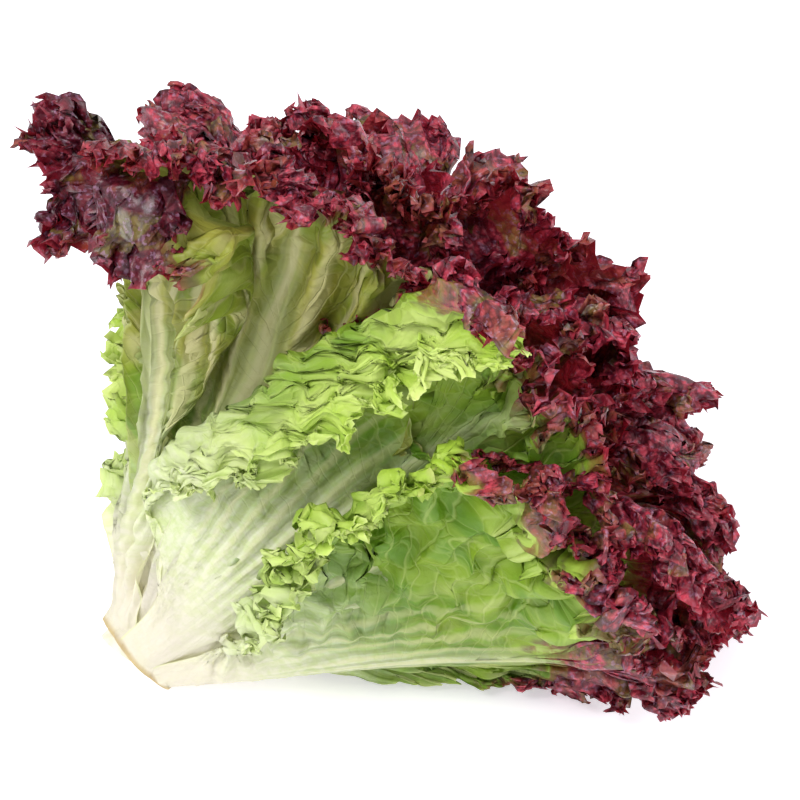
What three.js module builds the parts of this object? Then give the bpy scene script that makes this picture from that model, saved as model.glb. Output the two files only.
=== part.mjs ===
// A loose-leaf lettuce head with frilled leaves, cut at the base and lying on its side.
//
// One short tapered stem carries twenty-nine leaves in a spiral. Every leaf is a separate thin solid that
// starts just clear of the stem and follows its own cone round the head's axis. The cones open one inside
// the next, so no two leaves meet. The head opens less on its near side, where it shows its outer leaves.
//
// Units are millimetres, +Z is up, and the head rests on z = 0. Its cut end is at -X and its frilled crown
// at +X and +Z. The origin is under the middle of the head's box.

import * as THREE from "three";
import { mergeVertices } from "three/addons/utils/BufferGeometryUtils.js";

// Driving dimensions.
const AXIS_TILT_DEG = 50; // the head's axis above the ground, before it leans back
const LEAN_BACK_DEG = 30; // the whole fan leans away from the near side
const CUT_RADIUS = 12.5; // of the stem, where the knife went through
const CUT_SLANT = 0.16; // rise of the cut face across the stem, per millimetre
const STEM_LENGTH = 60;
const STEM_TIP_RADIUS = 2.2;
const CUT_CENTRE = new THREE.Vector3(-84.79, -69.59, 9.0); // the middle of the cut face
const SHEET = 1.1; // thickness of a leaf blade
const SKIN_GAP = 0.65; // clear space between a leaf's foot and the stem
const LEAF_COUNT = 29;
const GOLDEN_ANGLE_DEG = 137.5;
const FIRST_AZIMUTH_DEG = 165;
// The eight outermost leaves lie where the head settled, a little off the spiral.
const OUTER_AZIMUTHS_DEG = [152, 302, 101, 222, 22, 130, 264, 62];
const SPREAD_STEP = 0.031; // how much less each next leaf opens
const FOOT_STEP = 1.35; // how much higher up the stem each next leaf starts, at first
const FOOT_GAIN = 0.014; // and how fast that step grows towards the heart
const LOWEST_FOOT = 1.6;
const OUTER_REACH = 190; // from the cut centre to the tip of the outer leaves
const HEART_REACH = 192; // the same for the innermost leaves
const OUTER_HALF_WIDTH = 68;
const HEART_HALF_WIDTH = 24;
const FOOT_HALF_WIDTH = 7;
const FOOT_WRAP = 0.8; // most half width of a foot, as a share of the radius that it stands at
const TIP_ROUNDING = 0.17; // how far the shoulders of a leaf fall back from its tip
// Tangent of the opening angle towards each side of the fan.
const OPEN_TOP = 0.58;
const OPEN_BOTTOM = 1.0;
const OPEN_NEAR = 0.48;
const OPEN_FAR = 1.0;
const TIP_NARROWING = 0.24; // how much narrower than its shoulders a leaf ends
const TIP_BEND = 0.3; // extra opening at the tip of a leaf, which curls outwards
const TIP_BEND_TOP = 1.3; // the same for the leaves that stand up

// The frilled margin is a wave that stands across the blade and dies out towards the midrib and the foot.
const FRILL_WAVE = 47; // length of one wave along the margin
const OUTER_FRILL = 5.2; // height of the wave on the outermost leaf
const HEART_FRILL = 0.2; // and on the innermost one
const FRILL_CLEARANCE = 40; // the ground presses the frills flat below this height

// Facets along and across a leaf, from the outer leaves to the heart.
const OUTER_FACETS = [14, 12];
const HEART_FACETS = [8, 6];

const rad = THREE.MathUtils.degToRad;
const GROUND_LINE = new THREE.Vector3(1, 0, 0);
const leanBack = (v) => v.applyAxisAngle(GROUND_LINE, -rad(LEAN_BACK_DEG));
const AXIS = leanBack(new THREE.Vector3(Math.cos(rad(AXIS_TILT_DEG)), 0, Math.sin(rad(AXIS_TILT_DEG))));
const UPWARD = leanBack(new THREE.Vector3(-Math.sin(rad(AXIS_TILT_DEG)), 0, Math.cos(rad(AXIS_TILT_DEG)))); // azimuth 0
const NEAR = leanBack(new THREE.Vector3(0, -1, 0)); // azimuth 90

// Opening of the cone of spread 1 along UPWARD and NEAR, at an azimuth.
function opening(azimuth) {
  const up = Math.cos(azimuth);
  const near = Math.sin(azimuth);
  return [
    up * THREE.MathUtils.lerp(OPEN_BOTTOM, OPEN_TOP, (1 + up) / 2),
    near * THREE.MathUtils.lerp(OPEN_FAR, OPEN_NEAR, (1 + near) / 2),
  ];
}

// The ground presses up the leaves nearest to it: heights near zero are squeezed into a thin layer over it.
const SETTLE = 6; // height range of the squeeze
const SETTLE_LIFT = 0.08; // leaves room for the outer skins, so that the lowest one touches z = 0
const settle = (height) => SETTLE_LIFT + (height + Math.hypot(height, SETTLE)) / 2;

// A point on a leaf's cone, a distance along from its foot, at an azimuth.
function onCone(leaf, along, azimuth) {
  const [up, near] = opening(azimuth);
  const bend = THREE.MathUtils.lerp(TIP_BEND, TIP_BEND_TOP, Math.max(0, Math.cos(azimuth)) ** 2);
  const spread = leaf.spread * (1 + bend * Math.pow(along / OUTER_REACH, 3));
  const way = AXIS.clone().addScaledVector(UPWARD, up * spread).addScaledVector(NEAR, near * spread);
  return CUT_CENTRE.clone()
    .addScaledVector(AXIS, leaf.foot)
    .addScaledVector(UPWARD, leaf.footRadius * Math.cos(azimuth))
    .addScaledVector(NEAR, leaf.footRadius * Math.sin(azimuth))
    .addScaledVector(way.normalize(), along);
}

// The same, a distance across from the leaf's midrib, measured round the cone.
const TURN_STEPS = 12;
function onLeaf(leaf, along, across) {
  let azimuth = leaf.azimuth;
  const step = across / TURN_STEPS;
  const nudge = 0.01;
  for (let i = 0; i < TURN_STEPS; i++) {
    const speed = onCone(leaf, along, azimuth + nudge).distanceTo(onCone(leaf, along, azimuth - nudge)) / (2 * nudge);
    azimuth += step / speed;
  }
  return onCone(leaf, along, azimuth);
}

// Half the width of a leaf at a share of its length: a stalk-like foot, a wide shoulder and a round tip.
function halfWidth(leaf, share) {
  const swell = THREE.MathUtils.smoothstep(share, 0.06, 0.72);
  const tip = THREE.MathUtils.smoothstep(share, 0.72, 1.06);
  const foot = Math.min(FOOT_HALF_WIDTH, FOOT_WRAP * leaf.footRadius);
  return THREE.MathUtils.lerp(foot, leaf.halfWidth, swell) * (1 - TIP_NARROWING * tip);
}

// Thickness of a leaf: the midrib is thickest at the foot and fades towards the tip and the margins.
function thickness(leaf, share, side) {
  const rib = leaf.ribThickness * Math.pow(1 - share, 1.5) * (1 - 0.75 * side * side);
  return SHEET + rib;
}

// Height of the frill off a leaf's cone. Its crests fan out from the midrib towards the margin.
function frill(leaf, share, side) {
  const margin = Math.max(Math.abs(side), THREE.MathUtils.smoothstep(share, 0.55, 1));
  const strength = leaf.frill * Math.pow(margin, 3) * THREE.MathUtils.smoothstep(share, 0.3, 0.85);
  const round = side * (halfWidth(leaf, share) + leaf.length * (1 - share));
  return strength * Math.sin((2 * Math.PI * round) / FRILL_WAVE + leaf.azimuth);
}

// One leaf as a closed sheet: an inner and an outer skin, joined round the margin.
function leafGeometry(leaf) {
  const points = [];
  const indices = [];
  const { rows, columns } = leaf;
  const wide = columns + 1;
  const skin = (rows + 1) * wide;
  for (const outward of [-0.35, 0.65]) {
    for (let row = 0; row <= rows; row++) {
      for (let column = 0; column <= columns; column++) {
        const share = row / rows;
        const side = (2 * column) / columns - 1;
        const along = leaf.length * share * (1 - TIP_ROUNDING * side * side * share * share);
        const across = halfWidth(leaf, share) * side;
        const here = onLeaf(leaf, along, across);
        const ahead = onLeaf(leaf, along + 1, across).sub(here);
        const aside = onLeaf(leaf, along, across + 1).sub(here);
        const normal = ahead.cross(aside).normalize();
        const free = THREE.MathUtils.smoothstep(here.z, 0, FRILL_CLEARANCE);
        here.addScaledVector(normal, free * frill(leaf, share, side));
        here.z = settle(here.z);
        here.addScaledVector(normal, -outward * thickness(leaf, share, side));
        points.push(here.x, here.y, here.z);
      }
    }
  }
  const quad = (a, b, c, d) => indices.push(a, b, c, a, c, d);
  for (let row = 0; row < rows; row++) {
    for (let column = 0; column < columns; column++) {
      const a = row * wide + column;
      quad(a, a + wide, a + wide + 1, a + 1);
      quad(skin + a, skin + a + 1, skin + a + wide + 1, skin + a + wide);
    }
  }
  const rim = [];
  for (let column = 0; column < columns; column++) rim.push(column);
  for (let row = 0; row < rows; row++) rim.push(row * wide + columns);
  for (let column = columns; column > 0; column--) rim.push(rows * wide + column);
  for (let row = rows; row > 0; row--) rim.push(row * wide);
  rim.forEach((a, i) => {
    const b = rim[(i + 1) % rim.length];
    quad(a, b, skin + b, skin + a);
  });
  const geometry = new THREE.BufferGeometry();
  geometry.setAttribute("position", new THREE.Float32BufferAttribute(points, 3));
  geometry.setIndex(indices);
  geometry.computeVertexNormals();
  return geometry;
}

function stemRadius(height) {
  return THREE.MathUtils.lerp(CUT_RADIUS, STEM_TIP_RADIUS, height / STEM_LENGTH);
}

// The stem: a cone with a slanted cut at its foot and a blunt growing point.
function stemGeometry() {
  const profile = [new THREE.Vector2(0, 0), new THREE.Vector2(CUT_RADIUS, 0)];
  for (const height of [15, 30, 45]) profile.push(new THREE.Vector2(stemRadius(height), height));
  profile.push(new THREE.Vector2(STEM_TIP_RADIUS, STEM_LENGTH));
  profile.push(new THREE.Vector2(0, STEM_LENGTH + 1.5));
  const lathe = new THREE.LatheGeometry(profile, 28);
  lathe.deleteAttribute("normal");
  lathe.deleteAttribute("uv");
  const geometry = mergeVertices(lathe, 1e-3);
  const position = geometry.getAttribute("position");
  for (let i = 0; i < position.count; i++) {
    const height = position.getY(i);
    if (height < 1) position.setY(i, height + CUT_SLANT * position.getX(i));
  }
  geometry.computeVertexNormals();
  return geometry;
}

function makeLeaf(index) {
  const share = index / (LEAF_COUNT - 1);
  const foot = LOWEST_FOOT + FOOT_STEP * index + FOOT_GAIN * index * index;
  const azimuthDeg = OUTER_AZIMUTHS_DEG[index] ?? FIRST_AZIMUTH_DEG + GOLDEN_ANGLE_DEG * index;
  const ribThickness = THREE.MathUtils.lerp(2.0, 0.1, Math.sqrt(share));
  const reach = THREE.MathUtils.lerp(OUTER_REACH, HEART_REACH, share * share);
  return {
    azimuth: rad(azimuthDeg % 360),
    spread: 1 - SPREAD_STEP * index,
    foot,
    footRadius: stemRadius(foot) + SKIN_GAP + 0.5 * (SHEET + ribThickness),
    ribThickness,
    length: reach - foot,
    halfWidth: THREE.MathUtils.lerp(OUTER_HALF_WIDTH, HEART_HALF_WIDTH, share),
    frill: THREE.MathUtils.lerp(OUTER_FRILL, HEART_FRILL, share),
    rows: Math.round(THREE.MathUtils.lerp(OUTER_FACETS[0], HEART_FACETS[0], share)),
    columns: 2 * Math.round(THREE.MathUtils.lerp(OUTER_FACETS[1], HEART_FACETS[1], share) / 2),
  };
}

function leafName(index) {
  const rings = [
    ["outer_leaf", 0],
    ["middle_leaf", 10],
    ["inner_leaf", 18],
    ["heart_leaf", 25],
  ];
  const [ring, first] = rings.filter(([, start]) => index >= start).at(-1);
  return `${ring}_${index - first + 1}`;
}

const head = new THREE.Group();
head.name = "lettuce_head";

const stem = new THREE.Mesh(
  stemGeometry(),
  new THREE.MeshStandardMaterial({ color: "#e9e2c8", roughness: 0.5, metalness: 0 }),
);
stem.name = "stem";
stem.position.copy(CUT_CENTRE);
stem.quaternion.setFromUnitVectors(new THREE.Vector3(0, 1, 0), AXIS);
head.add(stem);

const OUTER_COLOUR = new THREE.Color("#6d2436");
const HEART_COLOUR = new THREE.Color("#b9d45a");
for (let index = 0; index < LEAF_COUNT; index++) {
  const colour = OUTER_COLOUR.clone().lerp(HEART_COLOUR, index / (LEAF_COUNT - 1));
  const material = new THREE.MeshStandardMaterial({ color: colour, roughness: 0.45, metalness: 0 });
  const leaf = new THREE.Mesh(leafGeometry(makeLeaf(index)), material);
  leaf.name = leafName(index);
  head.add(leaf);
}

export default head;
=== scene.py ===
# %% [markdown]
# # A frilled red lettuce head, lying on its side
#
# The real thing is a short stem with a spiral of thin leaves. Each leaf has a thick pale midrib, a puckered
# green blade and a margin that grew far too long for it, so it folds into frills on frills. We load the plain
# model first: it gives every leaf its place. Then each leaf is rebuilt here as a fine sheet in that place.

# %% Load the plain model
import math
import time
from types import SimpleNamespace
import bpy
import numpy as np
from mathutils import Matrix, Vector


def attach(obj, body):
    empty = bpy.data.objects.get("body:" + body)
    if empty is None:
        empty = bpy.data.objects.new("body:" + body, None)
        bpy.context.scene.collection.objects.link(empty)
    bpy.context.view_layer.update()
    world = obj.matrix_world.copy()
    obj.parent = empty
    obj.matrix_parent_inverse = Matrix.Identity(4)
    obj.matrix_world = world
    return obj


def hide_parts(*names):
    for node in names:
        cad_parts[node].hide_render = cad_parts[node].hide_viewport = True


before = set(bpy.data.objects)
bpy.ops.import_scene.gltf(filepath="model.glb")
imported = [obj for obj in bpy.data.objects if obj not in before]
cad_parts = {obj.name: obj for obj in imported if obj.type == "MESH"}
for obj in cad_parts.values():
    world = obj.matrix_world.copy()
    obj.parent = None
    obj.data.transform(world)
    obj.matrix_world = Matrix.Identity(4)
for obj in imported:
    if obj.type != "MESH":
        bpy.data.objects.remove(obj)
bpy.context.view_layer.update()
MM = 0.001

# %% [markdown]
# ## Camera, floor and light
#
# The head is seen from its near side and from above, through a long lens, so the leaves hardly shrink with
# distance. The floor is a plain pale sheet. Light comes from a bright even room and two large soft lamps,
# which give the waxy leaves their broad highlights.

# %% Camera
CUT_CENTRE = np.array([-84.79, -69.59, 9.0])
VIEW_ELEVATION = math.radians(40)
VIEW_ANGLE = math.radians(15)
VIEW_WIDTH = 266.7  # mm that the picture spans at the head
view_up = np.array([0, math.sin(VIEW_ELEVATION), math.cos(VIEW_ELEVATION)])
view_ahead = np.array([0, math.cos(VIEW_ELEVATION), -math.sin(VIEW_ELEVATION)])
target = CUT_CENTRE + [86.7, 0, 0] + 83.3 * view_up + 20 * view_ahead
eye = target - view_ahead * VIEW_WIDTH / 2 / math.tan(VIEW_ANGLE / 2)

scene = bpy.context.scene
camera = bpy.data.objects.new("camera", bpy.data.cameras.new("camera"))
camera.data.angle = VIEW_ANGLE
camera.location = Vector(eye * MM)
camera.rotation_euler = Vector(view_ahead).to_track_quat("-Z", "Y").to_euler()
scene.collection.objects.link(camera)
scene.camera = camera
print("camera at", [round(v, 3) for v in camera.location])

# %% Light and colour
scene.view_settings.view_transform = "Standard"
room = bpy.data.worlds.new("room")
room.use_nodes = True
room.node_tree.nodes["Background"].inputs["Color"].default_value = (1.0, 1.0, 1.0, 1)
room.node_tree.nodes["Background"].inputs["Strength"].default_value = 0.75
scene.world = room


def soft_lamp(name, place, size, watts):
    lamp = bpy.data.objects.new(name, bpy.data.lights.new(name, "AREA"))
    lamp.data.shape = "DISK"
    lamp.data.size = size
    lamp.data.energy = watts
    lamp.location = Vector(place)
    lamp.rotation_euler = (Vector(target * MM) - lamp.location).to_track_quat("-Z", "Y").to_euler()
    scene.collection.objects.link(lamp)
    return lamp


soft_lamp("key_lamp", (-0.5, -0.5, 1.2), 0.7, 12.5)
soft_lamp("side_lamp", (0.9, -0.3, 0.7), 0.6, 5.5)

# %% [markdown]
# ## Writing shader maths as plain expressions
#
# A material is a graph of nodes, and a formula drawn as nodes is hard to read. This small class wraps a
# socket, so that `1 - mask * 0.5` builds the Math nodes by itself. `Maker.node` adds any other node.


# %% Sockets that do arithmetic
class Wire:
    """A node's output socket that adds Math nodes when it is used in an expression."""

    def __init__(self, maker, socket):
        self.maker, self.socket = maker, socket

    def _math(self, operation, *values):
        return self.maker.node("ShaderNodeMath", {"operation": operation}, dict(enumerate(values)))

    def __add__(self, other): return self._math("ADD", self, other)
    def __radd__(self, other): return self._math("ADD", other, self)
    def __sub__(self, other): return self._math("SUBTRACT", self, other)
    def __rsub__(self, other): return self._math("SUBTRACT", other, self)
    def __mul__(self, other): return self._math("MULTIPLY", self, other)
    def __rmul__(self, other): return self._math("MULTIPLY", other, self)
    def __truediv__(self, other): return self._math("DIVIDE", self, other)
    def __pow__(self, other): return self._math("POWER", self, other)
    def clamp(self): return self._math("MINIMUM", self._math("MAXIMUM", self, 0.0), 1.0)
    def sine(self): return self._math("SINE", self)
    def absolute(self): return self._math("ABSOLUTE", self)

    def ramp(self, low, high):
        """0 below low, 1 above high, and smooth between them."""
        return self.maker.node(
            "ShaderNodeMapRange",
            {"interpolation_type": "SMOOTHSTEP"},
            {"Value": self, "From Min": low, "From Max": high, "To Min": 0.0, "To Max": 1.0},
        )


class Maker:
    """Builds one material."""

    def __init__(self, name):
        self.material = bpy.data.materials.new(name)
        self.material.use_nodes = True
        self.tree = self.material.node_tree
        self.tree.nodes.clear()

    def node(self, kind, settings=None, sockets=None, out=0):
        made = self.tree.nodes.new(kind)
        for key, value in (settings or {}).items():
            setattr(made, key, value)
        for key, value in (sockets or {}).items():
            socket = made.inputs[key]
            if isinstance(value, Wire):
                self.tree.links.new(value.socket, socket)
            else:
                socket.default_value = value
        return Wire(self, made.outputs[out])

    def mix(self, share, first, second):
        """The colour first where share is 0 and second where it is 1."""
        sockets = {0: share, 6: first, 7: second}
        return self.node("ShaderNodeMix", {"data_type": "RGBA"}, sockets, out=2)

    def attribute(self, name, part=None):
        vector = self.node("ShaderNodeAttribute", {"attribute_name": name}, out=1)
        if part is None:
            return vector
        return self.node("ShaderNodeSeparateXYZ", {}, {0: vector}, out="XYZ".index(part))

    def noise(self, vector, scale, detail=2.0, roughness=0.5):
        sockets = {"Vector": vector, "Scale": scale, "Detail": detail, "Roughness": roughness}
        return self.node("ShaderNodeTexNoise", {}, sockets)

    def cells(self, vector, feature):
        """Random cells: how far a point is from their middles (F1) or from their edges."""
        settings = {"feature": feature, "voronoi_dimensions": "3D"}
        sockets = {"Vector": vector, "Scale": 1.0, "Randomness": 1.0}
        return self.node("ShaderNodeTexVoronoi", settings, sockets)

    def scaled(self, vector, factor):
        return self.node("ShaderNodeVectorMath", {"operation": "MULTIPLY"}, {0: vector, 1: factor})

    def finish(self, shader):
        output = self.tree.nodes.new("ShaderNodeOutputMaterial")
        self.tree.links.new(shader.socket, output.inputs["Surface"])
        return self.material


def linear(red, green, blue):
    """A colour that was picked on a screen, as the light that the shader wants."""
    channel = lambda v: v / 12.92 if v <= 0.04045 else ((v + 0.055) / 1.055) ** 2.4
    return (*(channel(v / 255) for v in (red, green, blue)), 1.0)


# %% Floor
floor_maker = Maker("pale_floor")
floor_shader = floor_maker.node(
    "ShaderNodeBsdfPrincipled",
    {},
    {
        "Base Color": (0.92, 0.91, 0.96, 1),
        "Roughness": 0.8,
        "Emission Color": (0.96, 0.94, 1.0, 1),
        "Emission Strength": 0.45,
    },
)
floor_mesh = bpy.data.meshes.new("floor")
floor_mesh.from_pydata([(-4, -4, 0), (4, -4, 0), (4, 4, 0), (-4, 4, 0)], [], [(0, 1, 2, 3)])
floor_mesh.materials.append(floor_maker.finish(floor_shader))
floor = bpy.data.objects.new("floor", floor_mesh)
scene.collection.objects.link(floor)
print("floor 8 m across")

# %% [markdown]
# ## Where the leaves lie
#
# Every leaf follows a cone round the head's axis. Each next leaf opens a little less than the one before, so
# the cones sit inside each other and the leaves don't collide. These are the same driving dimensions and the
# same cones that the plain model was made with. Lengths are in millimetres until a mesh is made.

# %% Driving dimensions of the head
AXIS_TILT, LEAN_BACK = math.radians(50), math.radians(30)
CUT_RADIUS, CUT_SLANT, STEM_LENGTH, STEM_TIP_RADIUS = 12.5, 0.16, 60.0, 2.2
SHEET, SKIN_GAP, LEAF_COUNT = 1.1, 0.65, 29
GOLDEN_ANGLE, FIRST_AZIMUTH = 137.5, 165.0
OUTER_AZIMUTHS = [152, 302, 101, 222, 22, 130, 264, 62]
SPREAD_STEP, FOOT_STEP, FOOT_GAIN, LOWEST_FOOT = 0.031, 1.35, 0.014, 1.6
OUTER_REACH, HEART_REACH = 190.0, 192.0
OUTER_HALF_WIDTH, HEART_HALF_WIDTH = 68.0, 24.0
TIP_ROUNDING, TIP_NARROWING, TIP_BEND, TIP_BEND_TOP = 0.17, 0.24, 0.3, 1.3
OPEN_TOP, OPEN_BOTTOM, OPEN_NEAR, OPEN_FAR = 0.58, 1.0, 0.48, 1.0
SETTLE, SETTLE_LIFT = 6.0, 0.08


def lean_back(v):
    """Turns a direction about the X axis, away from the near side."""
    c, s = math.cos(LEAN_BACK), math.sin(LEAN_BACK)
    return np.array([v[0], v[1] * c + v[2] * s, v[2] * c - v[1] * s])


AXIS = lean_back([math.cos(AXIS_TILT), 0, math.sin(AXIS_TILT)])
UPWARD = lean_back([-math.sin(AXIS_TILT), 0, math.cos(AXIS_TILT)])
NEAR = lean_back([0, -1, 0])
print("head axis", AXIS.round(3))


# %% The cones
def lerp(a, b, share):
    return a + (b - a) * share


def smooth(value, low, high):
    t = np.clip((value - low) / (high - low), 0, 1)
    return t * t * (3 - 2 * t)


def unit(v):
    return v / np.maximum(np.linalg.norm(v, axis=-1, keepdims=True), 1e-9)


def on_cone(leaf, along, azimuth):
    """Points on a leaf's cone, at distances along from its foot and at azimuths."""
    up, near = np.cos(azimuth), np.sin(azimuth)
    bend = lerp(TIP_BEND, TIP_BEND_TOP, np.maximum(0, up) ** 2)
    spread = leaf.spread * (1 + bend * (np.maximum(along, 0) / OUTER_REACH) ** 3)
    open_up = up * lerp(OPEN_BOTTOM, OPEN_TOP, (1 + up) / 2) * spread
    open_near = near * lerp(OPEN_FAR, OPEN_NEAR, (1 + near) / 2) * spread
    way = unit(AXIS + open_up[..., None] * UPWARD + open_near[..., None] * NEAR)
    foot = CUT_CENTRE + AXIS * leaf.foot
    foot = foot + leaf.foot_radius * (up[..., None] * UPWARD + near[..., None] * NEAR)
    return foot + way * np.maximum(along, 0)[..., None] + AXIS * np.minimum(along, 0)[..., None]


def on_leaf(leaf, along, across, steps=12, nudge=0.01):
    """The same, at distances across from the midrib, walked round the cone."""
    azimuth = np.full(np.shape(across), leaf.azimuth)
    for _ in range(steps):
        ahead = on_cone(leaf, along, azimuth + nudge) - on_cone(leaf, along, azimuth - nudge)
        azimuth = azimuth + across / steps / (np.linalg.norm(ahead, axis=-1) / (2 * nudge) + 1e-9)
    return on_cone(leaf, along, azimuth)


def settle(height):
    """The ground presses up what would lie below it."""
    return SETTLE_LIFT + (height + np.hypot(height, SETTLE)) / 2


# %% The list of leaves
def leaf_name(index):
    rings = [("heart_leaf", 25), ("inner_leaf", 18), ("middle_leaf", 10), ("outer_leaf", 0)]
    ring, first = next((ring, first) for ring, first in rings if index >= first)
    return ring, f"{ring}_{index - first + 1}"


def make_leaf(index):
    share = index / (LEAF_COUNT - 1)
    foot = LOWEST_FOOT + FOOT_STEP * index + FOOT_GAIN * index**2
    degrees = OUTER_AZIMUTHS[index] if index < len(OUTER_AZIMUTHS) else FIRST_AZIMUTH + GOLDEN_ANGLE * index
    rib = lerp(2.0, 0.1, math.sqrt(share))
    ring, name = leaf_name(index)
    return SimpleNamespace(
        index=index, ring=ring, name=name, share=share, rib=rib, foot=foot,
        azimuth=math.radians(degrees % 360),
        spread=1 - SPREAD_STEP * index,
        foot_radius=lerp(CUT_RADIUS, STEM_TIP_RADIUS, foot / STEM_LENGTH) + SKIN_GAP + 0.5 * (SHEET + rib),
        length=lerp(OUTER_REACH, HEART_REACH, share**2) - foot,
        half_width=lerp(OUTER_HALF_WIDTH, HEART_HALF_WIDTH, share),
    )


leaves = [make_leaf(index) for index in range(LEAF_COUNT)]
print(len(leaves), "leaves, the outermost", round(leaves[0].length), "mm long")

# %% [markdown]
# ## One leaf as a grid
#
# The grid follows the leaf's own veins. Its columns run from the midrib out to the margin, as the side veins
# do, and its rows run round the leaf. The frills need far more points than the blade, so rows near the
# margin use every column, and rows further in use every second, fourth, eighth or sixteenth one.


# %% Smooth random wobble
def wobble(rng, place, length, low=-1.0, high=1.0):
    """A random value that changes smoothly over about that length."""
    count = int(place.max() / length) + 4
    knots = rng.uniform(low, high, count)
    at = place / length
    i = np.clip(at.astype(int), 0, count - 2)
    return lerp(knots[i], knots[i + 1], smooth(at - i, 0, 1))


def arc(points):
    """Distance along a line of points."""
    return np.concatenate([[0], np.cumsum(np.linalg.norm(np.diff(points, axis=0), axis=1))])


# %% Outline of a leaf, flattened
FOOT_HALF_WIDTH = 11.0


def outline(leaf, look, count, rng):
    """Points (across, along) round a leaf's lobed margin, from one end of its foot to the other."""
    length = leaf.length * look.reach
    share = np.linspace(0, 1, 200)
    swell = smooth(share, look.shoulder[0], look.shoulder[1])
    foot = min(FOOT_HALF_WIDTH, 1.1 * leaf.foot_radius)
    plain = lerp(foot, leaf.half_width, swell)
    upper, lower = (
        plain * lerp(1, wide, smooth(share, 0.1, 0.55)) * (1 - narrow * smooth(share, *look.narrow_from))
        for wide, narrow in zip(look.wide, look.narrow)
    )
    rise_up, rise_low = (length * share * (1 - rounding * share**2) for rounding in look.rounding)
    side = np.linspace(1, -1, 120)
    drop = np.where(side > 0, look.rounding[1], look.rounding[0]) * side**2
    top = np.stack([np.where(side > 0, lower[-1], upper[-1]) * side, length * (1 - drop)], 1)
    whole = np.concatenate([np.stack([lower, rise_low], 1), top[1:-1], np.stack([-upper, rise_up], 1)[::-1]])
    even = np.linspace(0, arc(whole)[-1], 401)
    points = np.stack([np.interp(even, arc(whole), whole[:, k]) for k in (0, 1)], 1)
    for _ in range(60):  # rounds the shoulders
        points[1:-1] = (points[:-2] + 2 * points[1:-1] + points[2:]) / 4
    tip = np.argmax(points[:, 1])
    halves = []
    for sign, half_line in ((-1, points[: tip + 1]), (1, points[tip:][::-1])):
        total = arc(half_line)[-1]
        place = np.linspace(0, total, 6001)  # from the foot to the tip
        flat = np.stack([np.interp(place, arc(half_line), half_line[:, k]) for k in (0, 1)], 1)
        part = 1 - place / total  # 1 at the foot and 0 at the tip
        root = np.stack([np.zeros(len(place)), 0.62 * length * (1 - part) ** 1.25], 1)
        # Narrow notches part the margin into round lobes.
        beat = place / look.lobe + 0.8 * wobble(rng, place, 3 * look.lobe)
        deep = rng.uniform(0.25, 1.0, int(beat.max()) + 3)[np.clip(np.round(beat).astype(int), 0, None)]
        late = look.late[0 if sign > 0 else 1]  # how much higher up the leaf this half's frills start
        rise = smooth(flat[:, 1] / length - late, *look.notch_from)
        notch = deep * look.notch * rise * np.abs(2 * (beat % 1) - 1) ** 3.5
        ray = flat - root
        notch = np.minimum(notch, 0.5 * np.linalg.norm(ray, axis=1))
        flat = flat - unit(ray) * notch[:, None]
        # Columns spread evenly along the notched margin, but sparsely near the foot.
        closeness = 0.35 + 0.65 * smooth(flat[:, 1], 0.15 * length, 0.5 * length)
        counted = np.concatenate([[0], np.cumsum(np.diff(arc(flat)) * closeness[1:])])
        at = np.interp(np.linspace(0, counted[-1], count // 2 + 1), counted, np.arange(len(place)))
        columns = [np.interp(at, np.arange(len(place)), v) for v in (*flat.T, place, sign * part, notch)]
        halves.append(columns if sign < 0 else [v[::-1] for v in columns])
    halves[1][2] = halves[0][2][-1] + halves[1][2][0] - halves[1][2]
    x, y, place, signed, notch = (np.concatenate([a[:-1], b]) for a, b in zip(*halves))
    part = (np.abs(signed) + np.abs(signed[::-1])) / 2  # both halves share their points on the midrib
    root = np.stack([np.zeros(count), 0.62 * length * np.maximum(1 - part, 0) ** 1.25], 1)
    return np.stack([x, y], 1), root, place, signed, notch


# %% Directions on a grid of points
def grid_frame(points):
    """Unit directions at each point: along the margin, out towards the margin, and off the sheet."""
    round_ = np.gradient(points, axis=1)
    out = -np.gradient(points, axis=0)
    off = unit(np.cross(out, round_))
    return unit(round_), unit(out), off


# %% [markdown]
# ## Frills
#
# A frilled margin folds at several sizes at once. A broad wave bends the whole margin, a shorter wave rides
# on it, and a short tight one crimps the edge. One sine wave could only make a neat ruffle, so each wave here
# leans over sideways at its crests, as a ribbon that is too long for its space does, and each is added
# square to the sheet as the wave before left it. Each fades out further in, where the columns are sparser.


# %% Waves on waves
def add_wave(points, depth, rng, place, length, height, reach, lean=0.34, dip=0.45, strength=1.0):
    """Folds a grid into waves of that length and height, which fade out that far from the margin."""
    round_, out, off = grid_frame(points)
    phase = 2 * np.pi * place / length + 2.2 * wobble(rng, place, 1.3 * length)
    size = height * wobble(rng, place, 1.6 * length, 0.55, 1.25) * strength
    drift = wobble(rng, place, 2.2 * length, -1.0, 1.0)
    fade = smooth(-depth, -reach, 0) ** 1.15
    wave = phase[None, :] + drift[None, :] * depth / (0.6 * length)
    across = (size * fade * np.cos(wave))[..., None]
    sideways = (-lean * size * fade * np.sin(2 * wave))[..., None]
    back = (-dip * size * fade**2 * np.cos(wave) ** 2)[..., None]
    return points + off * across + round_ * sideways + out * back


# %% Pointed teeth
def add_teeth(points, depth, rng, place, spacing, height, strength):
    """Draws the margin out into pointed teeth with hollow curves between them."""
    _, out, _ = grid_frame(points)
    beat = place / spacing + 0.9 * wobble(rng, place, 3 * spacing)
    sizes = rng.uniform(0.1, 1.0, int(beat.max()) + 3) ** 1.3 * 1.6
    tooth = (1 - np.abs(2 * (beat % 1) - 1)) ** 1.6 * sizes[np.clip(beat.astype(int), 0, len(sizes) - 1)]
    return points + out * (height * strength * tooth * smooth(-depth, -1.3 * height, 0))[..., None]


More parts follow.
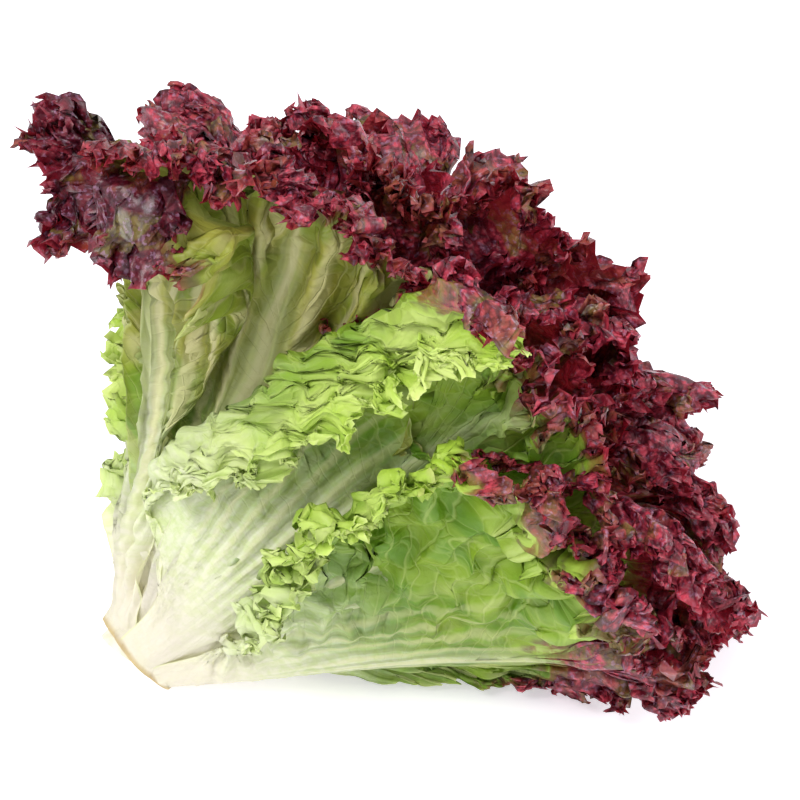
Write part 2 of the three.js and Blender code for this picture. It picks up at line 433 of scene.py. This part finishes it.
# %% Rolled margins
def roll(x, y, direction, depth, turn, width, bent):
    """Rolls a strip of that width along the margin outwards by an angle. Gives new x and y, and a height."""
    rolled = np.maximum(width - depth, 0)
    size = np.maximum(np.abs(turn), 1e-3)
    radius = np.maximum(bent * width / size, 0.01)
    angle = np.minimum(rolled / radius, size)
    straight = rolled - angle * radius
    inward = radius * np.sin(angle) + straight * np.cos(angle) - rolled
    height = (radius * (1 - np.cos(angle)) + straight * np.sin(angle)) * np.sign(turn)
    return x + direction[..., 0] * inward, np.maximum(y + direction[..., 1] * inward, 0), height


# %% Crumpling
def crumple_field(rng, points, length, count=14):
    """A smooth random push at each point, with bumps of about that length."""
    push = np.zeros_like(points)
    for _ in range(count):
        ahead = unit(rng.normal(size=3))
        wave = points @ (ahead * 2 * np.pi / (length * rng.uniform(0.7, 1.4)))
        push += np.sin(wave + rng.uniform(0, 6.28))[..., None] * unit(rng.normal(size=3))
    return push / math.sqrt(count / 2)


# %% [markdown]
# ## Bending a flat leaf into its place
#
# The leaf is first drawn flat. Then its margin rolls out, one side may fold right over, the midrib and the
# ribs rise, and the sheet is wrapped round its cone in the head. This is worked out on every eighth column,
# because a bend needs few points. Smooth curves through those give all the columns, and the frills come last.


# %% Sizes of frills and ribs, in mm
FOOT_DROP = 1.2  # the outer feet run down to this height over the cut
QUILT = 13.0  # bumps of the blade between its veins
LACE = (2.0, 0.8)  # heights of the bumps of a lacy margin, for long and for short ones
BILLOW = (14.0, 1.6)  # length and height of the bumps where the blade turns into frills
CURL_WAVE = (7.5, 2.8, 27)  # length, height, and how far in from the margin it reaches
CURL_BUMPS = (6.0, 0.9, 26, 5)  # the same, and how near to the margin they are full
CRIMP_WAVE = (4.6, 1.15, 9)
CRIMP_BUMPS = (3.4, 0.35, 14, 3)
TOOTH_SPACING, TOOTH_HEIGHT = 3.0, 3.3
MIDRIB_WIDTH = (7.0, 2.0)  # at the foot and at the tip
VEIN_SPACING = 15.0
FAN_START, FAN_GROWTH = 6.0, 0.3  # the ribs' fan is this wide at the foot, and widens so much along the leaf
FOLD_TURN, FOLD_BENT = 2.95, 0.24  # how far a folded side turns over, in radians, and how sharply
COARSE_STEP = 8  # the bends are worked out on every such column


# %% Bend a flat leaf into its place
def flat_sheet(leaf, look, columns, rows, rng):
    """A leaf laid flat: how far across, along and in from the margin each point of its grid is."""
    flat, root, place, signed, notch = outline(leaf, look, columns, rng)  # signed is -1 and 1 at the foot
    k = np.linspace(0, 1, rows + 1)
    q = 0.32 * k + 0.68 * k**2  # 0 at the margin, 1 at the midrib
    ray = flat - root
    depth = q[:, None] * np.linalg.norm(ray, axis=1)[None, :]
    bow = np.stack([ray[:, 1], -ray[:, 0]], 1) * np.sign(signed)[:, None] * 0.35
    points = root + ray * (1 - q)[:, None, None] - (q * (1 - q))[:, None, None] * bow
    across, along = points[..., 0], np.maximum(points[..., 1], 0)
    return SimpleNamespace(
        across=across, along=along, depth=depth, q=q, ray=ray, place=place, signed=signed, notch=notch
    )


def fan_place(across, along):
    """Where a point lies between the ribs that fan out from the foot: 0 on the midrib."""
    return across / (FAN_START + FAN_GROWTH * along)


def bend(leaf, look, sheet, rng):
    """Every eighth column of a leaf, rolled, folded, ribbed and wrapped round its cone."""
    step, place, q = COARSE_STEP, sheet.place, sheet.q
    x, y, d = (values[:, ::step] for values in (sheet.across, sheet.along, sheet.depth))
    ray, notch = sheet.ray[::step], sheet.notch[::step]
    part = np.abs(sheet.signed[::step])
    upper = sheet.signed[::step] > 0  # the half that turns towards the top of the head

    # The margin rolls outwards, by an angle and over a strip that both vary round the leaf.
    turn = lerp(look.top, np.where(upper, *look.turns), smooth(part, *look.side_from))
    turn = turn * (1 + look.sway * wobble(rng, place, 40)[::step])
    strip = np.minimum(look.strip, 0.7 * np.linalg.norm(ray, axis=1) + notch)
    strip = strip * (1 - smooth(part, *look.side_to)) * (1 + 0.8 * look.sway * wobble(rng, place, 28)[::step])
    x, y, height = roll(x, y, unit(ray[None]), d + notch[None], turn[None], strip[None], look.bent)
    if look.fold:  # one side turns right over along a line beside the midrib
        crest = lerp(10, look.fold, smooth(y, 5, 70)) + 3 * wobble(rng, place, 30)[::step][None, :]
        flap = np.maximum(-sheet.across[:, ::step].min(axis=0, keepdims=True) - crest, 1)
        turn = FOLD_TURN * smooth(y, 20, 60)
        x, y, over = roll(x, y, np.array([-1.0, 0.0]), flap + crest + x, turn, flap, FOLD_BENT)
        height = height + over
    height = height + np.where(upper, *look.lift)[None, :] * smooth(-d, -75, -10) * smooth(y, 15, 60)

    # The midrib stands out on the back of the leaf, between lower ribs that fan out from the foot.
    run = np.clip(y / (leaf.length * look.reach), 0, 1)
    rib_height = (1 + leaf.rib) * 1.1 * (1 - np.clip(run / 0.92, 0, 1)) ** 0.9
    height = height + rib_height * np.exp(-((x / lerp(*MIDRIB_WIDTH, run**0.8)) ** 2))
    fan = fan_place(x, y)
    flutes = 0.5 - 0.5 * np.cos(2 * np.pi * fan / look.flute)
    flutes = flutes * (1 - smooth(np.abs(fan), *look.flutes_to)) * (1 - smooth(y, *look.flutes_end))
    height = height + look.flutes * (flutes * smooth(y, 4, 30))
    # The blade puckers between its side veins.
    veins = np.cos(2 * np.pi * place[::step] / VEIN_SPACING + 2.5 * wobble(rng, place, 30)[::step])[None, :]
    veins = look.pucker * veins * smooth(q, 0.2, 0.45)[:, None]
    height = height + veins * (1 - smooth(q, 0.75, 1.0))[:, None]

    if leaf.ring == "outer_leaf":  # the outer feet run down over the edge of the cut
        cut_height = FOOT_DROP + CUT_SLANT * leaf.foot_radius * np.cos(leaf.azimuth + x / leaf.foot_radius)
        y = y - np.minimum(leaf.foot - cut_height, 12) * (1 - smooth(y, 0, 22))
    here = on_leaf(leaf, y, x)
    ahead = on_leaf(leaf, y + 1, x) - here
    aside = on_leaf(leaf, y, x + 1) - here
    return here - unit(np.cross(ahead, aside)) * height[..., None]


def all_columns(sparse, columns):
    """Every column, on smooth curves through the sparse ones."""
    at = np.arange(columns) / COARSE_STEP
    i = np.clip(at.astype(int), 0, sparse.shape[1] - 2)
    t = (at - i)[None, :, None]
    first, last = 2 * sparse[:, :1] - sparse[:, 1:2], 2 * sparse[:, -1:] - sparse[:, -2:-1]
    padded = np.concatenate([first, sparse, last], 1)
    a, b, c, e = (padded[:, i + n] for n in range(4))
    return 0.5 * (2 * b + (c - a) * t + (2 * a - 5 * b + 4 * c - e) * t**2 + (3 * b - a - 3 * c + e) * t**3)


# %% Frill a leaf
def add_frills(leaf, look, sheet, points, rng):
    """Quilts the blade, then puts wave on wave towards the margin, and teeth along it."""
    along, depth, upper = sheet.along, sheet.depth, sheet.signed > 0
    # Strong at the top of the leaf, as much as the look asks for down its sides, none at the foot.
    high = smooth(along[0] / (leaf.length * look.reach) - np.where(upper, *look.late), *look.frill_from)
    crumple = np.where(upper, *look.crumple) * smooth(along[0], 25, 65)
    strong, fair = lerp(0.8 * crumple, 1, high), lerp(0.4 * crumple, 1, high)

    def bumped(points, size, height, start, full):
        """Bumps that start that far in from the margin and are full that near to it."""
        swell = height * smooth(-depth, -start, -full) * strong
        return points + swell[..., None] * crumple_field(rng, points, size)

    quilted = np.where(upper, *look.quilt) * smooth(along, 30, 90)
    quilted = quilted * (1 - smooth(sheet.q, 0.55, 0.95))[:, None]
    points = points + quilted[..., None] * crumple_field(rng, points, QUILT)
    lacy = look.lacy * upper * smooth(along, 12, 40) * (1 - smooth(along, 90, 130))
    lacy = lacy * (1 - smooth(sheet.q, 0.8, 1.0))[:, None]
    long_bumps, short_bumps = crumple_field(rng, points, QUILT), crumple_field(rng, points, CURL_BUMPS[0])
    points = points + lacy[..., None] * (LACE[0] * long_bumps + LACE[1] * short_bumps)
    points = add_wave(points, depth, rng, sheet.place, *look.ruffle, look.frill_deep + 8, strength=strong)
    points = bumped(points, *BILLOW, look.frill_deep, 20)
    points = add_wave(points, depth, rng, arc(points[0]), *CURL_WAVE, strength=strong)
    points = bumped(points, *CURL_BUMPS)
    points = add_wave(points, depth, rng, arc(points[0]), *CRIMP_WAVE, strength=fair)
    points = bumped(points, *CRIMP_BUMPS)
    return add_teeth(points, depth, rng, arc(points[0]), TOOTH_SPACING, TOOTH_HEIGHT, strong)


def leaf_grid(leaf, look, columns, rows):
    """The grid of a leaf in the head, and what the materials want to know at each point."""
    rng = np.random.default_rng(leaf.index + 1)
    sheet = flat_sheet(leaf, look, columns, rows, rng)
    points = add_frills(leaf, look, sheet, all_columns(bend(leaf, look, sheet, rng), columns), rng)
    print(leaf.name, "margin", round(sheet.place[-1]), "mm, frilled", round(arc(points[0])[-1]), "mm")
    points[..., 2] = settle(points[..., 2])
    sheet.points = points
    return sheet


# %% [markdown]
# ## From grid to mesh
#
# The rows near the margin keep all their columns. Where a row with fewer columns follows, three triangles
# bridge each gap, so no cracks open. Both halves of the leaf end on the midrib and share their points there.


# %% Mesh of one leaf
def leaf_mesh(leaf, look, grid):
    rows, columns = grid.points.shape[:2]
    strides = np.select([grid.q < limit for limit in look.fine_to], [1, 2, 4, 8], 16)
    number = np.full((rows, columns), -1)
    count = 0
    for row, stride in enumerate(strides):
        kept = np.arange(0, columns, stride)
        if row == rows - 1:  # the midrib: left and right columns share points
            kept = kept[kept <= columns // 2]
        number[row, kept] = count + np.arange(len(kept))
        if row == rows - 1:
            number[row, columns - 1 - kept] = number[row, kept]
        count += len(kept)
    faces, spots = [], []  # corner numbers, and their places on the grid for the texture map
    for row in range(rows - 1):
        fine, coarse = strides[row], strides[row + 1]
        left = np.arange(0, columns - 1, coarse)
        right = left + coarse
        if fine == coarse:
            corners = [[(row, left), (row, right), (row + 1, right), (row + 1, left)]]
        else:
            middle = left + fine
            corners = [
                [(row, left), (row, middle), (row + 1, left)],
                [(row, middle), (row, right), (row + 1, right)],
                [(row, middle), (row + 1, right), (row + 1, left)],
            ]
        for corner in corners:
            ids = np.stack([number[r, c] for r, c in corner], 1)
            uv = [np.stack([c / (columns - 1), np.full(len(c), grid.q[r])], 1) for r, c in corner]
            faces.append(ids)
            spots.append(np.stack(uv, 1))
    mesh = bpy.data.meshes.new(leaf.name + "_frilled")
    used = number >= 0
    vertices = np.zeros((count, 3))
    vertices[number[used]] = grid.points[used] * MM
    polygons = [tuple(f) for block in faces for f in block.tolist()]
    mesh.from_pydata(vertices.tolist(), [], polygons)
    uv_map = mesh.uv_layers.new(name="OFBake")
    uv_map.data.foreach_set("uv", np.concatenate([s.reshape(-1, 2) for s in spots]).ravel())
    mesh.shade_smooth()

    def store(name, *values):
        data = np.zeros((count, 3))
        data[number[used]] = np.stack([np.broadcast_to(v, used.shape)[used] for v in values], 1)
        mesh.attributes.new(name, "FLOAT_VECTOR", "POINT").data.foreach_set("vector", data.ravel())

    return mesh, store


# %% [markdown]
# ## The leaf's finish
#
# Colour follows the leaf: white at the foot and along the midrib, fresh green over the blade, and dark wine
# red in the frills, which see the most sun. The change from green to red is patchy and passes through olive.
# A painted texture could hold all that, but a few masks do it at any size: some are stored on the mesh as
# attributes, because only the mesh knows how far a point is from its margin, and the rest is noise.


# %% Marks that repeat over a leaf
FLAT_PATCH, FLAT_SPECK, FLAT_NET = 0.055, 0.35, 0.16  # how often they come in a millimetre of the flat leaf
CURLS, SHADES, CRINKLES_AND_GLINTS = 380.0, 330.0, 560.0  # how often they come in a metre of the frilled leaf
FINE_RIB_STEP = 0.21  # of the fan of ribs


def leaf_marks(m):
    """Ribs, side veins, the net between them and random patches, each as a mask from 0 to 1."""
    flat = m.attribute("flat")  # mm across and along the leaf, and a number of its own for each leaf
    across, along = m.attribute("flat", "X"), m.attribute("flat", "Y")
    marks = SimpleNamespace(along=along)

    # Lower ribs fan out from the foot, with grooves between them.
    bend = m.noise(m.scaled(flat, (0.05, 0.02, 1.0)), 1.0, 2.0)
    fan = across / (along * FAN_GROWTH + FAN_START)
    marks.ribs = ((fan * (1 / FINE_RIB_STEP) + bend * 1.5 + 0.5) * (2 * math.pi)).sine() * 0.5 + 0.5
    marks.blotch = m.noise(m.scaled(flat, (FLAT_PATCH, FLAT_PATCH, 1.0)), 1.0, 3.0)
    marks.speck = m.noise(m.scaled(flat, (FLAT_SPECK, FLAT_SPECK, 1.0)), 1.0, 3.0, 0.6)
    marks.moss = m.noise(m.scaled(flat, (0.11, 0.09, 1.3)), 1.0, 2.0).ramp(0.55, 0.66)
    marks.strand = m.noise(m.scaled(flat, (0.55, 0.035, 1.0)), 1.0, 2.0)  # fibres run along the midrib

    # Side veins run along the grid's columns; a finer net lies between them.
    sway = m.noise(m.scaled(flat, (0.06, 0.06, 1.0)), 1.0, 2.0)
    vein_wave = ((m.attribute("ray", "X") + (sway - 0.5) * 14) * (2 * math.pi / VEIN_SPACING)).sine()
    marks.cells = m.cells(m.scaled(flat, (FLAT_NET, FLAT_NET, 1.0)), "DISTANCE_TO_EDGE")
    marks.veins = (1 - vein_wave.absolute().ramp(0.04, 0.3)) * 0.9 + (1 - marks.cells.ramp(0.0, 0.09)) * 0.45

    # The frills crimp again at a few millimetres, the same size however far the sheet is gathered. The same
    # marks place painted lilac highlights and painted shade between the curls.
    spot = m.node("ShaderNodeTexCoord", out=3)
    marks.curl = m.cells(m.scaled(spot, (CURLS, CURLS, CURLS)), "F1")
    marks.shade = m.noise(m.scaled(spot, (SHADES, SHADES, SHADES)), 1.0, 2.0, 0.6)
    marks.crinkle = m.noise(m.scaled(spot, (CRINKLES_AND_GLINTS, CRINKLES_AND_GLINTS, CRINKLES_AND_GLINTS)), 1.0, 2.0)
    return marks


# %% Green blade
def blade_colour(m, marks, tone):
    """Green between paler veins, duller and olive in the sun, and fresh where the leaf is young."""
    green = m.mix(marks.blotch.ramp(0.35, 0.65), linear(82, 146, 14), linear(134, 186, 30))
    green = m.mix(marks.veins * 0.5, green, linear(192, 224, 112))
    dull = m.mix(marks.blotch.ramp(0.4, 0.6), linear(142, 156, 52), linear(178, 170, 78))
    dull = m.mix(marks.veins * 0.4, dull, linear(188, 172, 132))
    fresh = m.mix(marks.blotch.ramp(0.35, 0.65), linear(182, 214, 74), linear(220, 238, 136))
    return m.mix(tone.fresh, m.mix(tone.dull.clamp(), green, dull), fresh)


def rib_colour(m, marks, tone):
    """White flesh that turns pinkish at the foot and olive on the leaves that stand in the sun."""
    pale = m.mix(marks.speck.ramp(0.3, 0.7), linear(224, 236, 176), linear(244, 246, 218))
    foot = 1 - marks.along.ramp(10, 55)
    pale = m.mix(foot * 0.8, pale, linear(240, 230, 216))
    return m.mix(tone.dull * 0.9, pale, linear(212, 220, 148))


# %% Wine-red frills
def wine_colour(m, marks, tone):
    """Wine red with brown and mossy patches, painted lilac highlights, and painted shade between the curls.
    """
    wine = m.mix(marks.shade.ramp(0.38, 0.66), linear(116, 18, 44), linear(224, 80, 102))
    wine = m.mix(tone.deep * 0.8, wine, linear(72, 8, 32))
    wine = m.mix(marks.blotch.ramp(0.54, 0.66) * 0.85, wine, linear(152, 82, 52))
    wine = m.mix(marks.moss * 0.8, wine, linear(124, 116, 52))
    # Painted highlight: small lilac glints, as the glossy frills reflect the bright room.
    wine = m.mix(marks.crinkle.ramp(0.56, 0.65) * 0.5, wine, linear(190, 142, 178))
    # Painted shade: darker wine in the hollows between the little curls.
    return m.mix(marks.curl.ramp(0.42, 0.7) * 0.6, wine, linear(50, 8, 28))


# %% [markdown]
# ## One material for all the leaves
#
# The colours are laid over each other in the order in which the real leaf has them: flesh over green along
# the midrib, pale ribs over both with painted shade in the grooves between them, red over all, and the cut at
# the foot last. A leaf is thin enough for light to shine through, which a plain glossy shader can't show, so
# a share of it is translucent.


# %% Leaf material
GLOW_SHARE = 0.27  # how much of the finish is light that shines through


def leaf_material(name):
    m = Maker(name)
    marks = leaf_marks(m)
    tone = SimpleNamespace(
        red=m.attribute("tone", "X"), pale=m.attribute("tone", "Y"), dull=m.attribute("tone", "Z"),
        fresh=m.attribute("ray", "Y"), deep=m.attribute("fluted", "Y"),
    )
    fluted, edge_depth = m.attribute("fluted", "X"), m.attribute("ray", "Z")
    marks.veins = marks.veins.clamp() * (1 - tone.pale * 0.85)
    patch = (marks.blotch - 0.5) * 0.9 + (marks.speck - 0.5) * 0.5
    red_here = (tone.red + patch - marks.veins * 0.12).ramp(0.42, 0.78)

    pale_here = (tone.pale + (marks.strand - 0.5) * (tone.pale * (1 - tone.pale) * 3)).clamp()
    colour = m.mix(pale_here, blade_colour(m, marks, tone), rib_colour(m, marks, tone))
    colour = m.mix(fluted * marks.ribs.ramp(0.5, 0.95) * 0.6, colour, linear(226, 220, 166))
    # Painted shade: dark olive in the grooves between the ribs, where the real grooves lie in shade.
    colour = m.mix(fluted * (1 - marks.ribs.ramp(0.05, 0.45)) * 0.55, colour, linear(112, 122, 36))
    blot = ((tone.red + patch * 0.6).ramp(0.2, 0.45) * marks.cells.ramp(0.1, 0.22)).clamp()
    colour = m.mix(blot * 0.65 * (1 - tone.pale), colour, linear(104, 62, 66))
    colour = m.mix(red_here, colour, wine_colour(m, marks, tone))
    olive = (red_here * (1 - red_here) * 4).clamp() * 0.7
    colour = m.mix(olive, colour, linear(132, 96, 44))
    scar = 1 - marks.along.ramp(0.4, 2.6)  # where the knife went through the foot
    colour = m.mix(scar * 0.8, colour, linear(196, 168, 112))
    # The last millimetre of the margin is paler: partly the margin's own colour, partly a painted highlight
    # where the thin edge catches the light.
    rim_tint_and_highlight = m.mix(tone.red.ramp(0.15, 0.6), linear(224, 234, 160), linear(178, 58, 74))
    colour = m.mix((1 - edge_depth.ramp(0.2, 1.3)) * 0.45, colour, rim_tint_and_highlight)

    relief = marks.veins * -0.6 + marks.speck * 0.4 + marks.crinkle * (0.3 + red_here * 1.2)
    relief = relief + marks.strand * tone.pale * 1.1 - marks.curl * red_here * 1.6
    relief = relief + marks.cells.ramp(0.0, 0.35) * (1 - tone.pale) * 0.9 + marks.ribs * fluted * 3.5
    bump = m.node("ShaderNodeBump", {}, {"Strength": 0.5, "Distance": 0.0012, "Height": relief})
    shine = m.node(
        "ShaderNodeBsdfPrincipled",
        {},
        {
            "Base Color": colour,
            "Roughness": 0.4 + marks.speck * 0.16 - red_here * 0.06,
            "Specular IOR Level": 0.35,
            "Coat Weight": 0.04 + red_here * 0.6,
            "Coat Roughness": 0.24,
            "Normal": bump,
        },
    )
    glow_colour = m.mix(red_here, m.mix(0.35, colour, linear(196, 214, 104)), linear(160, 30, 44))
    glow = m.node("ShaderNodeBsdfTranslucent", {}, {"Color": glow_colour, "Normal": bump})
    return m.finish(m.node("ShaderNodeMixShader", {}, {0: GLOW_SHARE, 1: shine, 2: glow}))


leaf_finish = leaf_material("lettuce_leaf")
print("leaf material has", len(leaf_finish.node_tree.nodes), "nodes")

# %% [markdown]
# ## How the leaves differ
#
# No two leaves of a head grow alike, and one shape repeated 29 times would look like a paper flower. A plain
# look holds what most leaves share, and the leaves that show most have values of their own: the lowest one
# has a lacy upper margin, the third turns its upper side right over itself, and the fifth leans out and
# hangs its frills over. Random draws from a seed do the rest.

# %% Look that most leaves share
# A pair is for a leaf's upper and its lower half, or where a change starts and ends. Lengths are in mm.
PLAIN_LOOK = dict(
    # Outline: width, where the shoulder and the tip narrow it, lobes and the notches between them.
    wide=(1.0, 1.0), shoulder=(0.06, 0.72), narrow=(0.24, 0.24), narrow_from=(0.6, 1.06),
    rounding=(TIP_ROUNDING, TIP_ROUNDING), lobe=12.0, notch=14.0, notch_from=(0.4, 0.7),
    # Rolled margin: its turn at the top and down the sides, the strip that it takes, and its unevenness.
    top=0.8, turns=(0.2, 0.2), strip=32.0, bent=0.5, side_from=(0.3, 0.52), side_to=(0.7, 0.88), sway=0.35,
    fold=0, lift=(0, 0),
    # Relief of the blade: height, step and reach of the ribs, pucker and bumps between the veins.
    flutes=0.8, flute=0.42, flutes_to=(0.6, 1.3), flutes_end=(90, 160), pucker=0.9, quilt=(0.8, 0.8), lacy=0,
    # Frills: the broad wave's length and height, how many run down the sides, how much later they start.
    ruffle=(26.0, 6.5), crumple=(0.4, 0.4), late=(0, 0),
    # Colour: yellow-green at the margin, olive, pale ribs with painted shade in their grooves, white at the
    # foot and the midrib, a darker red.
    light=(0, 0), light_deep=40, olive=0.3, ridges=0.75, white_to=(25, 85), rib_wide=15, deep=0,
    # Up to where the grid keeps every column, every second, fourth and eighth one.
    fine_to=(0.08, 0.2, 0.34, 0.6),
)

# %% Looks of single leaves
FINE_FURTHER = (0.08, 0.25, 0.6, 1.01)
OWN_LOOKS = {
    "outer_leaf_1": dict(
        reach=0.95, wide=(1.73, 0.55), narrow=(0.0, 0.24), rounding=(0.0, 0.17), shoulder=(-0.05, 1.05),
        top=0.2, turns=(0.5, 0.3), lift=(8, 0), crumple=(1.1, 0.1), pucker=0.4, frill_from=(0.64, 0.78),
        late=(0.12, -0.12), red_from=(116, 168), light=(0.9, 0), light_deep=38, quilt=(2.6, 1.0),
        frill_deep=60, white_to=(38, 104), lacy=1.0, rib_wide=7, fine_to=FINE_FURTHER,
    ),
    "outer_leaf_2": dict(
        wide=(1.0, 1.2), turns=(0.1, 1.1), strip=14.0, crumple=(0.3, 1.6), shoulder=(0.0, 0.45),
        narrow=(0.24, 0.6), narrow_from=(0.42, 0.8), side_from=(0.1, 0.3), side_to=(0.85, 0.97),
        notch_from=(0.1, 0.2), light=(0, 1.0), late=(0, 0.1),
    ),
    "outer_leaf_3": dict(
        reach=1.04, wide=(1.32, 1.0), narrow=(0.0, 0.24), rounding=(-0.13, 0.17), shoulder=(0.06, 0.5),
        turns=(0.3, 0.0), top=0.3, strip=20.0, fold=50, crumple=(0.6, 0.1), flutes=2.2, flute=0.36,
        pucker=0.0, side_from=(0.0, 0.12), side_to=(0.62, 0.85), sway=0.15, frill_from=(0.86, 0.97),
        red_from=(150, 222), notch_from=(0.2, 0.4), ridges=0.7, flutes_to=(0.9, 1.5), flutes_end=(110, 170),
        light=(1.0, 0), quilt=(3.2, 0.4), white_to=(50, 135), late=(0.3, 0), light_deep=70,
        fine_to=FINE_FURTHER,
    ),
    "outer_leaf_5": dict(
        reach=0.98, wide=(0.9, 1.35), narrow=(0.0, 0.0), rounding=(0.1, -0.1), shoulder=(0.5, 1.05), top=2.0,
        bent=0.6, turns=(0.3, 0.0), side_from=(0.12, 0.3), crumple=(0.6, 0.1), flutes=6.0, late=(0, 0.28),
        flute=0.35, flutes_to=(1.6, 2.4), flutes_end=(140, 180), ruffle=(20.0, 7.0), frill_from=(0.66, 0.8),
        frill_deep=60, red_from=(128, 150), olive=0.85, ridges=1.0, quilt=(0.8, 0.4), deep=1.0,
        white_to=(40, 120), rib_wide=18,
    ),
    "outer_leaf_6": dict(
        reach=1.15, turns=(0.0, 0.0), crumple=(0.1, 0.1), frill_from=(0.66, 0.78), red_from=(138, 164),
    ),
    "outer_leaf_8": dict(
        reach=1.16, turns=(0.5, 0.0), top=1.2, lift=(5, 5), strip=24.0, rounding=(0.06, 0.12),
        narrow=(0.0, 0.24), crumple=(0.1, 0.1), flutes=6.0, flute=0.35, flutes_to=(1.4, 2.2),
        flutes_end=(150, 195), frill_from=(0.76, 0.88), frill_deep=60, red_from=(158, 190), olive=0.9,
        ridges=1.0, quilt=(0.4, 0.4), fine_to=FINE_FURTHER,
    ),
    "middle_leaf_1": dict(frill_from=(0.62, 0.8), red_from=(118, 150), flutes=2.5, olive=0.6),
    "middle_leaf_3": dict(reach=0.98, crumple=(0.1, 0.1), turns=(0, 0)),
    "middle_leaf_8": dict(reach=1.0),
    "heart_leaf_1": dict(reach=1.08),
    "heart_leaf_4": dict(reach=1.06),
}


# %% Look of one leaf
def look_of(leaf):
    """The plain look, what changes with a leaf's place in the head, and then what is its own."""
    facing = max(0, math.sin(leaf.azimuth)) ** 2  # 1 on the near side of the head
    inner = smooth(leaf.index, 7, 11)
    outer_red = np.array([124 + 18 * facing, 152 + 18 * facing])
    outer_frills = np.array([0.6 + 0.1 * facing, 0.8 + 0.07 * facing])
    by_place = dict(
        reach=lerp(1.06, 1.18, leaf.share),
        frill_from=lerp(outer_frills, np.array([0.5, 0.68]), inner),
        red_from=lerp(outer_red, np.array([104, 134]), inner),
        frill_deep=lerp(36, 60, inner),
    )
    return SimpleNamespace(**{**PLAIN_LOOK, **by_place, **OWN_LOOKS.get(leaf.name, {})})


# %% [markdown]
# ## Painting the masks
#
# The masks come from the grid, before it is frilled: a frill that hangs down still belongs to the top of its
# leaf and stays red. Each is a simple ramp along the leaf or in from its margin.


# %% Masks of one leaf
def paint(leaf, look, grid, store):
    """Stores on the mesh what the leaf material reads."""
    upper, margin, height = grid.signed > 0, -grid.depth, grid.along
    first, full = look.red_from
    late = height - np.where(upper, *look.late) * leaf.length
    blade_red = lerp(lerp(0.4, 0.8, smooth(leaf.index, 7, 11)), 1, smooth(margin, -70, -10))
    red = smooth(late, first, full) * blade_red + 0.25 * smooth(late, first + 14, full + 10)
    red = red + 0.4 * smooth(margin, -8, -1) * smooth(late, first - 18, full - 28)
    rib_width = lerp(look.rib_wide, 3, np.clip(height / leaf.length, 0, 1))
    rib_line = np.exp(-((grid.across / rib_width) ** 2))
    pale = rib_line * (1 - 0.7 * smooth(height, 60, 180)) + 0.9 * (1 - smooth(height, *look.white_to))
    fan = np.abs(fan_place(grid.across, height))
    fluted = look.ridges * (1 - smooth(fan, *look.flutes_to)) * (1 - smooth(height, *look.flutes_end))
    fresh = np.where(upper, *look.light) * smooth(margin, -look.light_deep, -8)
    store("flat", grid.across, grid.along, leaf.index * 7.3)
    store("tone", red, np.clip(pale, 0, 1), look.olive * smooth(height, 50, 110))
    store("ray", grid.place[None, :], fresh, grid.depth)
    store("fluted", fluted * smooth(height, 25, 75), look.deep, 0)


# %% Make every leaf
COLUMNS_AND_ROWS = {  # odd numbers of columns, because one lies on the tip
    "outer_leaf": (2049, 28), "middle_leaf": (1793, 24), "inner_leaf": (1409, 20), "heart_leaf": (513, 16),
    "outer_leaf_1": (2689, 44), "outer_leaf_3": (2689, 30), "outer_leaf_5": (2689, 30),
    "outer_leaf_6": (2689, 30), "outer_leaf_8": (2689, 30), "middle_leaf_1": (2689, 30),
}
started = time.time()
triangles = 0
for leaf in leaves:
    columns, rows = COLUMNS_AND_ROWS.get(leaf.name, COLUMNS_AND_ROWS[leaf.ring])
    look = look_of(leaf)
    grid = leaf_grid(leaf, look, columns, rows)
    mesh, store = leaf_mesh(leaf, look, grid)
    paint(leaf, look, grid, store)
    mesh.materials.append(leaf_finish)
    piece = bpy.data.objects.new(leaf.name + "_frilled", mesh)
    scene.collection.objects.link(piece)
    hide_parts(leaf.name)
    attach(piece, "root")
    mesh.calc_loop_triangles()
    triangles += len(mesh.loop_triangles)
print(f"{triangles} triangles in the leaves, {time.time() - started:.1f} s")

# %% [markdown]
# ## The stem
#
# Below the leaves only the cut end of the stem shows, as pale moist flesh. It keeps the plain model's mesh
# and gets a finish with a fine grain. The tan ring round it is the cut feet of the leaves.

# %% Stem material
m = Maker("cut_stem")
place = m.node("ShaderNodeTexCoord", out=3)
grain = m.noise(m.scaled(place, (400.0, 400.0, 400.0)), 1.0, 3.0)
flesh = m.mix(grain.ramp(0.35, 0.65), linear(226, 220, 196), linear(238, 234, 216))
stem_shader = m.node("ShaderNodeBsdfPrincipled", {}, {"Base Color": flesh, "Roughness": 0.5})
stem_finish = m.finish(stem_shader)
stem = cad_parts["stem"]
stem.data.materials.clear()
stem.data.materials.append(stem_finish)
